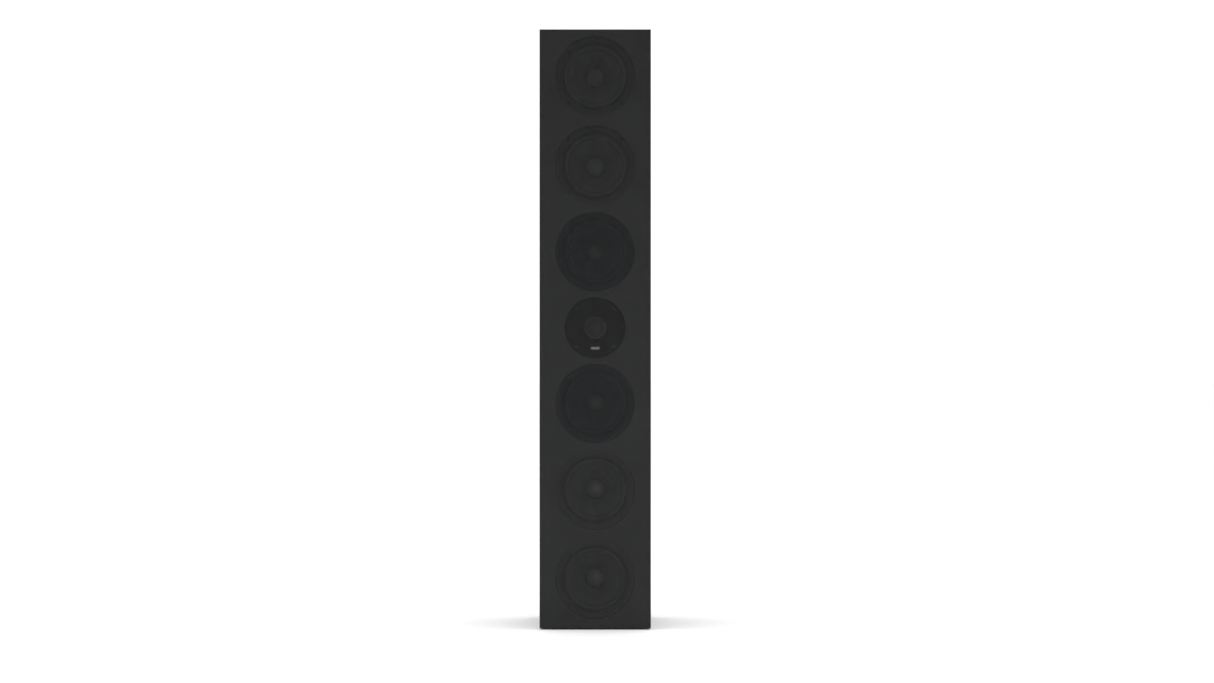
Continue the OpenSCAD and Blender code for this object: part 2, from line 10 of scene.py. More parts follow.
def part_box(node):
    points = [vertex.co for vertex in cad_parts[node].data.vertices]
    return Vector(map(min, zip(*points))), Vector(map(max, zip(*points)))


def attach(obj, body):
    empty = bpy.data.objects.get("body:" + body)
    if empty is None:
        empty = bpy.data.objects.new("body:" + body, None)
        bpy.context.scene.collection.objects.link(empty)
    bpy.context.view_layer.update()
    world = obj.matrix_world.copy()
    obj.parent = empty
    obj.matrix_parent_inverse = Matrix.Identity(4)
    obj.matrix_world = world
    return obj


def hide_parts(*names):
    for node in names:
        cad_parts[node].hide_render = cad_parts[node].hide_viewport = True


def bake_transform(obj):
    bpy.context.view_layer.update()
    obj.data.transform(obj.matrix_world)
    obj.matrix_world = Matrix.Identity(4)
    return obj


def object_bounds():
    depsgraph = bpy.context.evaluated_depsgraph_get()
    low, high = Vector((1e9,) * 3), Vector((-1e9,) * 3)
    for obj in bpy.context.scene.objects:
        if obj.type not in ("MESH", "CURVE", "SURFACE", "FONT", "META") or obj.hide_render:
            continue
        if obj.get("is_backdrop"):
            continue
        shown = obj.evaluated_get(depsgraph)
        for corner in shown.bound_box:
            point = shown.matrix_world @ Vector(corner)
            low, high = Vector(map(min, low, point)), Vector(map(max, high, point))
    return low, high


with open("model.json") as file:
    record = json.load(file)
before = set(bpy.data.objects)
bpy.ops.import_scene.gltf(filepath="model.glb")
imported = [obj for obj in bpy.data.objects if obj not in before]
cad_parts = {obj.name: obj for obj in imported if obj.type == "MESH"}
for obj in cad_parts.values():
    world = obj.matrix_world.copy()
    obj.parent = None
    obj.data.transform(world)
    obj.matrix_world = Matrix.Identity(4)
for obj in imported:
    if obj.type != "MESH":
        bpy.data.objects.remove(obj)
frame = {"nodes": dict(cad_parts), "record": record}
nodes = frame["nodes"]


def plain(v):
    if hasattr(v, "__len__") and not isinstance(v, str):
        return [plain(x) for x in v]
    return round(float(v), 6)


cad_bounds = plain(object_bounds())

# ------------------------------------------------------------------ sizes, all in metres

CONES = ["woofer_1", "woofer_2", "midrange_1", "midrange_2", "woofer_3", "woofer_4"]
MM = 0.001


def centre(node):
    lo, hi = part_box(node)
    return (lo + hi) / 2


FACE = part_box("front_baffle")[0].y          # front of the baffle
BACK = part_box("back_panel")[1].y            # back of the cabinet
CLOTH_LO, CLOTH_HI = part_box("grille_cloth")
FRAME_LO, FRAME_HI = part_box("grille_frame")
DRIVER_Z = {d: centre(d + "_cone").z for d in CONES}
TWEETER_Z = centre("tweeter_guard").z
CUP = centre("terminal_cup")
OBJECT_LO, OBJECT_HI = Vector(cad_bounds[0]), Vector(cad_bounds[1])

# ------------------------------------------------------------------ node helpers


class Tree:
    """A material's node tree, with short ways to add what the materials below use."""

    def __init__(self, name):
        self.mat = bpy.data.materials.new(name)
        self.mat.use_nodes = True
        self.nt = self.mat.node_tree
        self.bsdf = self.nt.nodes["Principled BSDF"]
        self.coord = self.nt.nodes.new("ShaderNodeTexCoord")

    def new(self, kind, **props):
        n = self.nt.nodes.new(kind)
        for k, v in props.items():
            setattr(n, k, v)
        return n

    def link(self, a, b):
        self.nt.links.new(a, b)

    def put(self, value, socket):
        if isinstance(value, bpy.types.NodeSocket):
            self.link(value, socket)
        else:
            socket.default_value = value

    def where(self, scale=(1, 1, 1), rotation=(0, 0, 0)):
        m = self.new("ShaderNodeMapping")
        m.inputs["Scale"].default_value = scale
        m.inputs["Rotation"].default_value = rotation
        self.link(self.coord.outputs["Object"], m.inputs["Vector"])
        return m.outputs["Vector"]

    def noise(self, scale, detail=3.0, rough=0.55, stretch=(1, 1, 1), distortion=0.0):
        n = self.new("ShaderNodeTexNoise")
        self.link(self.where(stretch), n.inputs["Vector"])
        n.inputs["Scale"].default_value = scale
        n.inputs["Detail"].default_value = detail
        n.inputs["Roughness"].default_value = rough
        n.inputs["Distortion"].default_value = distortion
        return n.outputs["Fac"]

    def cells(self, scale, stretch=(1, 1, 1), feature="F1", randomness=1.0):
        n = self.new("ShaderNodeTexVoronoi", feature=feature)
        self.link(self.where(stretch), n.inputs["Vector"])
        n.inputs["Scale"].default_value = scale
        n.inputs["Randomness"].default_value = randomness
        return n.outputs["Distance"]

    def math(self, op, a, b=0.0, c=0.0):
        n = self.new("ShaderNodeMath", operation=op)
        self.put(a, n.inputs[0])
        self.put(b, n.inputs[1])
        self.put(c, n.inputs[2])
        return n.outputs[0]

    def spread(self, value, lo, hi, a=0.0, b=1.0):
        n = self.new("ShaderNodeMapRange")
        self.put(value, n.inputs["Value"])
        n.inputs["From Min"].default_value = a
        n.inputs["From Max"].default_value = b
        n.inputs["To Min"].default_value = lo
        n.inputs["To Max"].default_value = hi
        return n.outputs["Result"]

    def blend(self, fac, a, b):
        n = self.new("ShaderNodeMix", data_type="RGBA")
        self.put(fac, n.inputs["Factor"])
        n.inputs[6].default_value = (*a[:3], 1.0)
        n.inputs[7].default_value = (*b[:3], 1.0)
        return n.outputs[2]

    def xyz(self):
        n = self.new("ShaderNodeSeparateXYZ")
        self.link(self.coord.outputs["Object"], n.inputs[0])
        return n.outputs[0], n.outputs[1], n.outputs[2]

    def bump(self, height, strength, distance, before=None):
        n = self.new("ShaderNodeBump")
        n.inputs["Strength"].default_value = strength
        n.inputs["Distance"].default_value = distance
        self.put(height, n.inputs["Height"])
        if before is not None:
            self.link(before, n.inputs["Normal"])
        return n.outputs["Normal"]

    def finish(self, colour, rough, normal=None, metal=0.0, specular=0.5, ior=1.5, alpha=1.0,
               coat=0.0, coat_rough=0.1, sheen=0.0, sheen_rough=0.5):
        b = self.bsdf
        if isinstance(colour, (tuple, list)):
            colour = (*colour[:3], 1.0)
        self.put(colour, b.inputs["Base Color"])
        self.put(rough, b.inputs["Roughness"])
        b.inputs["Metallic"].default_value = metal
        b.inputs["Specular IOR Level"].default_value = specular
        b.inputs["IOR"].default_value = ior
        b.inputs["Alpha"].default_value = alpha
        b.inputs["Coat Weight"].default_value = coat
        b.inputs["Coat Roughness"].default_value = coat_rough
        b.inputs["Sheen Weight"].default_value = sheen
        b.inputs["Sheen Roughness"].default_value = sheen_rough
        if normal is not None:
            self.link(normal, b.inputs["Normal"])
        return self.mat


def shade(c, k):
    return tuple(min(1.0, x * k) for x in c[:3])


def moulded(name, colour, rough=0.5, grain=2600.0, depth=0.00006, vary=0.25, specular=0.4, stretch=(1, 1, 1), **more):
    """Moulded or coated surface: fine texture, soft colour drift, uneven gloss."""
    t = Tree(name)
    drift = t.noise(14.0, 4.0, stretch=stretch)
    fine = t.noise(grain, 2.0)
    tone = t.blend(t.spread(drift, 0.0, 1.0, 0.3, 0.7), shade(colour, 1 - vary), shade(colour, 1 + vary))
    gloss = t.spread(t.noise(60.0, 3.0), max(0.05, rough - 0.08), min(1.0, rough + 0.08), 0.3, 0.7)
    normal = t.bump(fine, 0.5, depth)
    return t.finish(tone, gloss, normal, specular=specular, **more)


def metal(name, colour, rough=0.3, brush=(1, 1, 1), depth=0.00002, **more):
    """Bare metal with fine machining lines along whichever axis isn't stretched."""
    t = Tree(name)
    lines = t.noise(900.0, 3.0, stretch=brush)
    stain = t.noise(35.0, 4.0)
    tone = t.blend(t.spread(stain, 0.0, 1.0, 0.35, 0.7), shade(colour, 0.86), shade(colour, 1.08))
    gloss = t.spread(lines, max(0.05, rough - 0.1), min(1.0, rough + 0.14), 0.3, 0.7)
    return t.finish(tone, gloss, t.bump(lines, 0.35, depth), metal=1.0, **more)


# ------------------------------------------------------------------ materials

def ash_lacquer():
    """Black ash foil: upright open grain under a satin film."""
    t = Tree("cabinet_black_ash")
    face = t.new("ShaderNodeSeparateXYZ")
    t.link(t.new("ShaderNodeNewGeometry").outputs["True Normal"], face.inputs[0])
    flat = t.math("GREATER_THAN", t.math("ABSOLUTE", face.outputs[2]), 0.75)

    def along(detail, rough, across, length, distortion=0.0):
        """Streaks that run up the walls, and front to back on the top and the underside."""
        upright = t.noise(1.0, detail, rough, stretch=(across, across, length), distortion=distortion)
        lying = t.noise(1.0, detail, rough, stretch=(across, length, across), distortion=distortion)
        return t.math("ADD", upright, t.math("MULTIPLY", flat, t.math("SUBTRACT", lying, upright)))

    pores = along(5.0, 0.62, 1400, 26)
    figure = along(4.0, 0.6, 60, 2.2, 0.6)
    pits = t.spread(pores, 0.0, 1.0, 0.54, 0.68)
    tone = t.blend(t.spread(figure, 0.0, 1.0, 0.35, 0.68), (0.0078, 0.0078, 0.0084), (0.0145, 0.0142, 0.0146))
    gloss = t.math("ADD", t.spread(pits, 0.42, 0.66), t.spread(t.noise(7.0, 3.0), -0.04, 0.05, 0.3, 0.7))
    height = t.math("ADD", t.math("MULTIPLY", pits, -1.0), t.math("MULTIPLY", figure, 0.4))
    return t.finish(tone, gloss, t.bump(height, 0.35, 0.00012), specular=0.13)


def baffle_lacquer():
    t = Tree("baffle_satin_black")
    peel = t.noise(420.0, 2.0)
    dust = t.noise(9.0, 5.0)
    tone = t.blend(t.spread(dust, 0.0, 1.0, 0.35, 0.7), (0.0085, 0.0085, 0.009), (0.013, 0.013, 0.0134))
    gloss = t.spread(dust, 0.42, 0.54, 0.3, 0.7)
    return t.finish(tone, gloss, t.bump(peel, 0.2, 0.00004), specular=0.15)


def grille_cloth():
    """Open knit: rows of loops, each one over and under its neighbour. The colour carries painted shade: darker in the
    gaps and where a loop passes under, lighter on the crests, with the yarn's slub mixed in.
    """
    t = Tree("grille_cloth_black")
    x, y, z = t.xyz()
    pitch = 0.00082
    across = t.math("ADD", x, y)
    u = t.math("MULTIPLY", across, math.pi / pitch)
    v = t.math("MULTIPLY", z, math.pi / pitch)
    over = t.math("MULTIPLY", t.math("SINE", u), t.math("SINE", v))
    warp = t.math("ABSOLUTE", t.math("COSINE", u))
    weft = t.math("ABSOLUTE", t.math("COSINE", v))
    yarn = t.math("MAXIMUM", t.math("MULTIPLY", warp, t.spread(over, 0.55, 1.0, -1, 1)),
                  t.math("MULTIPLY", weft, t.spread(over, 1.0, 0.55, -1, 1)))
    fuzz = t.noise(5200.0, 2.0)
    slub = t.noise(1.0, 3.0, stretch=(260, 260, 30))
    height = t.math("ADD", yarn, t.math("MULTIPLY", fuzz, 0.25))
    # painted shade: the tone darkens in the gaps between loops and where a loop passes under, and also follows the real
    # slub of the yarn
    weave_shade_and_slub = t.math("ADD", t.math("MULTIPLY", yarn, 0.55), t.math("MULTIPLY", slub, 0.45))
    tone = t.blend(t.spread(weave_shade_and_slub, 0.0, 1.0, 0.25, 0.85), CLOTH_DARK_SHADED, CLOTH_LIGHT)
    rough = t.spread(slub, 0.82, 0.94, 0.3, 0.7)
    return t.finish(tone, rough, t.bump(height, 0.5, 0.0002), specular=0.05, alpha=CLOTH_COVER)


def copper_coil(name="copper_winding"):
    """Wound wire: the turns lie side by side."""
    t = Tree(name)
    x, y, z = t.xyz()
    turns = t.math("ABSOLUTE", t.math("SINE", t.math("MULTIPLY", t.math("ADD", y, t.math("MULTIPLY", z, 0.45)), math.pi / 0.0005)))
    stain = t.noise(180.0, 3.0)
    tone = t.blend(stain, (0.36, 0.11, 0.035), (0.68, 0.27, 0.1))
    return t.finish(tone, t.spread(turns, 0.45, 0.22), t.bump(turns, 0.7, 0.00015), metal=1.0)


def raw_board():
    t = Tree("fibreboard_raw")
    fibre = t.noise(700.0, 5.0, 0.7)
    patch = t.noise(22.0, 4.0)
    tone = t.blend(t.math("MULTIPLY", t.math("ADD", fibre, patch), 0.5), (0.3, 0.19, 0.1), (0.5, 0.36, 0.22))
    return t.finish(tone, t.spread(fibre, 0.75, 0.95), t.bump(fibre, 0.5, 0.0003), specular=0.2)


def wadding():
    t = Tree("damping_wadding")
    wisps = t.noise(90.0, 8.0, 0.72, distortion=1.4)
    puff = t.noise(22.0, 3.0)
    tone = t.blend(wisps, (0.52, 0.52, 0.5), (0.82, 0.82, 0.8))
    return t.finish(tone, 0.95, t.bump(t.math("ADD", wisps, puff), 0.9, 0.004), specular=0.1, sheen=0.3)


def circuit_board():
    t = Tree("circuit_board_green")
    weave = t.math("MULTIPLY", t.math("SINE", t.math("MULTIPLY", t.xyz()[0], 5200.0)), t.math("SINE", t.math("MULTIPLY", t.xyz()[1], 5200.0)))
    tracks = t.spread(t.cells(95.0, feature="DISTANCE_TO_EDGE"), 0.0, 1.0, 0.05, 0.09)
    tone = t.blend(tracks, (0.045, 0.2, 0.07), (0.012, 0.1, 0.035))
    return t.finish(tone, t.spread(tracks, 0.3, 0.42), t.bump(t.math("ADD", weave, t.math("MULTIPLY", tracks, -2.0)), 0.2, 0.00006))


def film_wrap():
    t = Tree("capacitor_film_wrap")
    wind = t.noise(1.0, 3.0, stretch=(9, 700, 700))
    tone = t.blend(wind, (0.5, 0.3, 0.02), (0.72, 0.47, 0.05))
    return t.finish(tone, t.spread(wind, 0.22, 0.36), t.bump(wind, 0.3, 0.0001), coat=0.3)


def cement():
    t = Tree("resistor_cement")
    grit = t.noise(800.0, 5.0, 0.7)
    tone = t.blend(grit, (0.52, 0.51, 0.46), (0.78, 0.77, 0.72))
    return t.finish(tone, 0.9, t.bump(grit, 0.6, 0.0002), specular=0.25)


def rubber(name, colour, rough=0.62, grain=1500.0, **more):
    t = Tree(name)
    skin = t.noise(grain, 3.0)
    bloom = t.noise(28.0, 5.0, 0.6)
    tone = t.blend(t.spread(bloom, 0.0, 1.0, 0.35, 0.75), shade(colour, 0.8), shade(colour, 1.4))
    gloss = t.spread(bloom, rough - 0.1, rough + 0.1, 0.3, 0.7)
    return t.finish(tone, gloss, t.bump(skin, 0.25, 0.00005), **{"specular": 0.35, **more})


def spider_cloth():
    t = Tree("spider_cloth_amber")
    x, y, z = t.xyz()
    u = t.math("MULTIPLY", x, math.pi / 0.0006)
    v = t.math("MULTIPLY", z, math.pi / 0.0006)
    weave = t.math("MULTIPLY", t.math("SINE", u), t.math("SINE", v))
    tone = t.blend(t.spread(weave, 0.0, 1.0, -1, 1), (0.4, 0.22, 0.05), (0.62, 0.4, 0.13))
    return t.finish(tone, 0.72, t.bump(weave, 0.5, 0.0002), specular=0.3)


def coated_frame():
    """Coated casting: the woofers' frames are charcoal, the midranges' are near black."""
    t = Tree("coated_frame_black")
    x, y, z = t.xyz()
    reach = 0.07
    inner = None
    for d in CONES:
        if d.startswith("midrange"):
            near = t.math("LESS_THAN", t.math("ABSOLUTE", t.math("SUBTRACT", z, DRIVER_Z[d])), reach)
            inner = near if inner is None else t.math("ADD", inner, near)
    drift = t.spread(t.noise(14.0, 4.0), 0.0, 1.0, 0.3, 0.7)
    light = t.blend(drift, shade(WOOFER_BLACK, 0.85), shade(WOOFER_BLACK, 1.15))
    n = t.new("ShaderNodeMix", data_type="RGBA")
    t.put(inner, n.inputs["Factor"])
    t.link(light, n.inputs[6])
    n.inputs[7].default_value = (*MIDRANGE_BLACK, 1.0)
    gloss = t.spread(t.noise(60.0, 3.0), 0.42, 0.56, 0.3, 0.7)
    return t.finish(n.outputs[2], gloss, t.bump(t.noise(1900.0, 2.0), 0.5, 0.0001), specular=0.2)


def cone_skin(name, colour, rough, z0):
    """Coated cone: fine fibres with faint rings left by the forming tool."""
    t = Tree(name)
    x, y, z = t.xyz()
    dz = t.math("SUBTRACT", z, z0)
    r = t.math("SQRT", t.math("ADD", t.math("MULTIPLY", x, x), t.math("MULTIPLY", dz, dz)))
    rings = t.math("SINE", t.math("MULTIPLY", r, 2 * math.pi / 0.0011))
    fibre = t.noise(1300.0, 4.0, 0.65)
    blot = t.noise(70.0, 4.0)
    tone = t.blend(t.spread(blot, 0.0, 1.0, 0.3, 0.7), shade(colour, 0.82), shade(colour, 1.2))
    gloss = t.spread(fibre, rough - 0.07, rough + 0.1, 0.3, 0.7)
    height = t.math("ADD", t.math("MULTIPLY", rings, 0.25), fibre)
    return t.finish(tone, gloss, t.bump(height, 0.3, 0.00008), specular=0.2)


def dome_cloth():
    t = Tree("tweeter_dome_cloth")
    x, y, z = t.xyz()
    u = t.math("MULTIPLY", x, math.pi / 0.00035)
    v = t.math("MULTIPLY", z, math.pi / 0.00035)
    weave = t.math("MULTIPLY", t.math("SINE", u), t.math("SINE", v))
    coat = t.noise(500.0, 3.0)
    tone = t.blend(coat, (0.016, 0.016, 0.019), (0.03, 0.03, 0.034))
    return t.finish(tone, t.spread(coat, 0.3, 0.42), t.bump(t.math("ADD", weave, coat), 0.25, 0.00006), specular=0.5)


def knob_plastic(name, colour, rough=0.22):
    t = Tree(name)
    flow = t.noise(120.0, 4.0, 0.6, distortion=0.8)
    scuff = t.noise(900.0, 4.0)
    tone = t.blend(t.spread(flow, 0.0, 1.0, 0.3, 0.7), shade(colour, 0.85), shade(colour, 1.15))
    gloss = t.spread(scuff, rough - 0.06, rough + 0.14, 0.35, 0.75)
    return t.finish(tone, gloss, t.bump(scuff, 0.12, 0.00004), specular=0.5, coat=0.25, coat_rough=0.12)


def studio_floor():
    t = Tree("studio_floor")
    mottle = t.noise(3.0, 3.0)
    tone = t.blend(mottle, (0.92, 0.92, 0.92), (0.94, 0.94, 0.94))
    return t.finish(tone, t.spread(mottle, 0.75, 0.85), t.bump(mottle, 0.05, 0.0005), specular=0.1)


# the drivers' two blacks
WOOFER_BLACK = (0.046, 0.046, 0.047)
MIDRANGE_BLACK = (0.0050, 0.0078, 0.0140)

# share of the cloth that is yarn, and the ends of its tone ramp: the dark end is painted shade in the gaps and
# under-passing loops, mixed with the yarn's slub
CLOTH_COVER = 0.63
CLOTH_DARK_SHADED = (0.0105, 0.0109, 0.0109)
CLOTH_LIGHT = (0.0262, 0.0269, 0.0269)

M = {
    "cabinet_black": ash_lacquer(),
    "baffle_black": baffle_lacquer(),
    "fibreboard": raw_board(),
    "wadding": wadding(),
    "black_plastic": moulded("moulded_black", (0.014, 0.014, 0.0145), 0.46),
    "red_plastic": knob_plastic("knob_red", (0.42, 0.012, 0.012)),
    "gold_plate": metal("gold_plated_brass", (0.86, 0.6, 0.22), 0.2),
    "zinc": metal("zinc_plated_steel", (0.6, 0.61, 0.63), 0.34),
    "black_steel": metal("black_oxide_steel", (0.035, 0.035, 0.037), 0.36),
    "green_board": circuit_board(),
    "copper_winding": copper_coil(),
    "yellow_film": film_wrap(),
    "cement": cement(),
    "wire_insulation": moulded("wire_sleeve", (0.3, 0.02, 0.015), 0.4, grain=900.0),
    "rubber_black": rubber("rubber_black", (0.012, 0.012, 0.0125)),
    "magnet_nickel": metal("nickel_plating", (0.40, 0.40, 0.41), 0.30),
    "grille_cloth": grille_cloth(),
    "cast_black": coated_frame(),
    "ferrite": moulded("ferrite_dark", (0.03, 0.03, 0.032), 0.6, grain=1200.0, depth=0.0001),
    "spider_cloth": spider_cloth(),
    "cap_black": moulded("dust_cap_black", (0.031, 0.031, 0.0315), 0.36, grain=1500.0, depth=0.00002, specular=0.5),
    "dome_fabric": dome_cloth(),
    "badge_silver": metal("badge_brushed", (0.38, 0.38, 0.39), 0.40, brush=(0.03, 1, 1)),
}
FRAME_PLASTIC = moulded("grille_frame_charcoal", (0.052, 0.052, 0.052), 0.7, grain=1100.0, depth=0.0001, vary=0.12, specular=0.15)
KNOB_BLACK = knob_plastic("knob_black", (0.012, 0.012, 0.0125))
PLATE = moulded("tweeter_plate_black", (0.0033, 0.0033, 0.0036), 0.55, grain=2200.0, depth=0.00005, specular=0.06)
GUARD = moulded("guard_mesh", (0.036, 0.034, 0.031), 0.40, grain=2600.0, depth=0.00003, specular=0.3)
MIDRANGE_CAP = moulded("midrange_cap_black", (0.0075, 0.0084, 0.0102), 0.40, grain=1500.0, depth=0.00002, specular=0.28)
ROLL = {"woofer": rubber("woofer_edge_rubber", (0.044, 0.044, 0.0445), 0.62, specular=0.2),
        "midrange": rubber("midrange_edge_rubber", (0.0098, 0.0130, 0.0195), 0.62, specular=0.12)}

slot_of = {s["node"]: s["material_slot"] for s in frame["record"]["subparts"]}
for name, o in nodes.items():
    slot = slot_of[name]
    if slot == "cone_black":
        tint = WOOFER_BLACK if name.startswith("woofer") else MIDRANGE_BLACK
        m = cone_skin(name + "_skin", tint, 0.55, DRIVER_Z[name[:-5]])
    else:
        m = M[slot]
    o.data.materials.clear()
    o.data.materials.append(m)
nodes["grille_frame"].data.materials[0] = FRAME_PLASTIC
nodes["black_post_cap"].data.materials[0] = KNOB_BLACK
nodes["tweeter_faceplate"].data.materials[0] = PLATE

# ------------------------------------------------------------------ mesh helpers


def build(name, verts, faces, mat, sharp=35.0, smooth=True):
    me = bpy.data.meshes.new(name)
    me.from_pydata([tuple(v) for v in verts], [], [tuple(f) for f in faces])
    bm = bmesh.new()
    bm.from_mesh(me)
    finish_bm(bm, me, sharp, smooth)
    o = bpy.data.objects.new(name, me)
    bpy.context.scene.collection.objects.link(o)
    me.materials.append(mat)
    return o


def finish_bm(bm, me, sharp=35.0, smooth=True):
    bmesh.ops.recalc_face_normals(bm, faces=bm.faces)
    limit = math.radians(sharp)
    for f in bm.faces:
        f.smooth = smooth
    for e in bm.edges:
        e.smooth = not (len(e.link_faces) == 2 and e.calc_face_angle(0.0) > limit)
    bm.to_mesh(me)
    bm.free()


def lathe(name, profile, origin, front, mat, segs=128, closed=True, sharp=35.0):
    """Turns (radius, height) points, in mm, about the Y axis through origin. Height runs to the front, or to the back."""
    sign = -1.0 if front else 1.0
    ox, oy, oz = origin
    verts, rows = [], []
    for r, h in profile:
        y = oy + sign * h * MM
        if r < 1e-6:
            rows.append([len(verts)])
            verts.append((ox, y, oz))
        else:
            rows.append(list(range(len(verts), len(verts) + segs)))
            for k in range(segs):
                a = 2 * math.pi * k / segs
                verts.append((ox + r * MM * math.cos(a), y, oz + r * MM * math.sin(a)))
    faces = []
    pairs = list(zip(rows, rows[1:] + ([rows[0]] if closed else [])))
    if not closed:
        pairs = list(zip(rows, rows[1:]))
    for a, b in pairs:
        if len(a) == 1 and len(b) == 1:
            continue
        for k in range(segs):
            j = (k + 1) % segs
            if len(a) == 1:
                faces.append((a[0], b[k], b[j]))
            elif len(b) == 1:
                faces.append((a[k], b[0], a[j]))
            else:
                faces.append((a[k], b[k], b[j], a[j]))
    return build(name, verts, faces, mat, sharp)


def arc(cx, cz, r, a0, a1, n, rz=None):
    rz = r if rz is None else rz
    return [(cx + r * math.cos(math.radians(a0 + (a1 - a0) * i / n)),
             cz + rz * math.sin(math.radians(a0 + (a1 - a0) * i / n))) for i in range(n + 1)]


def thicken(line, t):
    """A closed loop round a polyline of (r, z) points: the line, then the same line t lower."""
    back = []
    n = len(line)
    for i in range(n - 1, -1, -1):
        a, b = line[max(i - 1, 0)], line[min(i + 1, n - 1)]
        dx, dz = b[0] - a[0], b[1] - a[1]
        d = math.hypot(dx, dz) or 1.0
        nx, nz = -dz / d, dx / d
        if nz > 0:
            nx, nz = -nx, -nz
        back.append((max(0.0, line[i][0] + nx * t), line[i][1] + nz * t))
    return line + back


def even_normals(o):
    """Big flat faces keep their own normal, so that an eased edge doesn't shade into them."""
    mod = o.modifiers.new("even", "WEIGHTED_NORMAL")
    mod.keep_sharp = True
    mod.weight = 90
    bpy.context.view_layer.objects.active = o
    bpy.ops.object.modifier_apply(modifier=mod.name)


def joined(name, parts, mat):
    """Several meshes as one piece."""
    bm = bmesh.new()
    for o in parts:
        o.data.transform(o.matrix_world)
        bm.from_mesh(o.data)
        bpy.data.objects.remove(o)
    me = bpy.data.meshes.new(name)
    finish_bm(bm, me)
    me.materials.append(mat)
    whole = bpy.data.objects.new(name, me)
    bpy.context.scene.collection.objects.link(whole)
    return whole


def place(o, body, slot, *replaced):
    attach(o, body)
    if replaced:
        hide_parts(*replaced)
    return o


def flexing(o):
    """An edge or spider: its placement is baked into its mesh."""
    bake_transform(o)
    return o


def eased_copy(node, mat, widths, body, slot, segments=2, sharp=40.0):
    """A CAD node's own shape with chosen edges eased. widths gives each edge its width, or nothing to leave it."""
    me = nodes[node].data.copy()
    me.name = node + "_eased"
    bm = bmesh.new()
    bm.from_mesh(me)
    bmesh.ops.remove_doubles(bm, verts=bm.verts, dist=1e-6)
    bmesh.ops.dissolve_limit(bm, angle_limit=math.radians(0.5), verts=bm.verts, edges=bm.edges)
    if callable(widths):
        groups = {}
        for e in bm.edges:
            if len(e.link_faces) == 2 and e.calc_face_angle(0.0) > math.radians(40):
                w = widths(e)
                if w:
                    groups.setdefault(w, []).append(tuple(tuple(v.co) for v in e.verts))
        for w, ends in sorted(groups.items()):
            keys = {frozenset(tuple(round(c, 6) for c in p) for p in pair) for pair in ends}
            picked = [e for e in bm.edges if frozenset(tuple(round(c, 6) for c in v.co) for v in e.verts) in keys]
            bmesh.ops.bevel(bm, geom=picked, offset=w, segments=segments, profile=0.5, affect="EDGES", clamp_overlap=True)
    finish_bm(bm, me, sharp)
    o = bpy.data.objects.new(node + "_eased", me)
    bpy.context.scene.collection.objects.link(o)
    me.materials.clear()
    me.materials.append(mat)
    even_normals(o)
    place(o, body, slot, node)
    return o


# ------------------------------------------------------------------ cabinet

def cabinet_edge(e):
    """Corners of the whole cabinet are eased, and panel joints are left as hairlines."""
    a, b = (v.co for v in e.verts)
    if sum(1 for k in range(3) if abs(a[k] - b[k]) > 1e-5) != 1 or e.calc_length() < 0.1:
        return 0

    def faces(c):
        return (abs(abs(c.x) - OBJECT_HI.x) < 2e-5, abs(c.z - OBJECT_HI.z) < 2e-5 or abs(c.z - 0.002) < 2e-5,
                abs(c.y - FACE) < 2e-5 or abs(c.y - BACK) < 2e-5)
    shared = sum(1 for p, q in zip(faces(a), faces(b)) if p and q)
    return 0.0009 if shared >= 2 else 0.00012 if shared == 1 else 0


for n in ("side_panel_left", "side_panel_right", "top_panel", "back_panel", "bottom_panel"):
    eased_copy(n, M["cabinet_black"], cabinet_edge, "cabinet", "cabinet_black", sharp=30.0)
eased_copy("front_baffle", M["baffle_black"], cabinet_edge, "cabinet", "baffle_black", sharp=30.0)

# ------------------------------------------------------------------ ports, terminals and feet


def near(x, z, spots, reach):
    return any(math.hypot(x - px, z - pz) < reach for px, pz in spots)


def cup_edge(e):
    """The rim of the flange and the lip of the recess, but not the screw holes."""
    a, b = (v.co for v in e.verts)
    if abs(a.y - b.y) > 1e-6 or near(a.x, a.z, CUP_SCREWS, 0.0045):
        return 0
    if abs(a.y - OBJECT_HI.y) < 2e-5:
        return 0.0006
    if abs(a.y - (BACK - 0.018)) < 2e-5:
        return 0.0012
    return 0


CUP_SCREWS = [(x, CUP.z + z) for x in (-0.05, 0.05) for z in (-0.037, 0.037)]
eased_copy("terminal_cup", M["black_plastic"], cup_edge, "cabinet", "black_plastic", segments=3, sharp=50.0)
eased_copy("bass_ports", M["black_plastic"], None, "cabinet", "black_plastic", sharp=32.0)


def knob(name, x, mat, body, node):
    """A fluted knob: the flutes run out at both ends, and the edges are rounded."""
    flutes, per = 18, 14
    segs = flutes * per
    rows = [(7.35, -14.8, 0.15), (7.75, -14.7, 0.35), (7.95, -14.4, 0.52), (8.0, -14.0, 0.6), (8.0, -8.0, 0.6), (8.0, -3.0, 0.6),
            (7.95, -2.3, 0.5), (7.75, -1.75, 0.28), (7.5, -1.5, 0.08), (7.1, -1.1, 0.0), (6.7, -0.5, 0.0), (6.45, -0.14, 0.0),
            (6.2, 0.0, 0.0), (3.75, 0.0, 0.0), (3.45, -0.1, 0.0), (3.35, -0.4, 0.0), (3.35, -3.0, 0.0), (4.75, -3.05, 0.0),
            (4.75, -14.7, 0.0), (4.9, -14.8, 0.0)]
    verts, faces = [], []
    for r, h, d in rows:
        for k in range(segs):
            turn = (k % per) / per * 2 - 1
            cut = d * max(0.0, 1 - (turn / 0.62) ** 2) ** 0.8
            a = 2 * math.pi * k / segs
            verts.append((x + (r - cut) * MM * math.cos(a), BACK + h * MM, CUP.z + (r - cut) * MM * math.sin(a)))
    n = len(rows)
    for i in range(n):
        for k in range(segs):
            j = (k + 1) % segs
            m = (i + 1) % n
            faces.append((i * segs + k, m * segs + k, m * segs + j, i * segs + j))
    o = build(name, verts, faces, mat, 50.0)
    even_normals(o)
    place(o, body, "red_plastic" if node.startswith("red") else "black_plastic", node)
    return o


knob("red_knob_fluted", -0.020, M["red_plastic"], "red_post_knob", "red_post_cap")
knob("black_knob_fluted", 0.020, KNOB_BLACK, "black_post_knob", "black_post_cap")

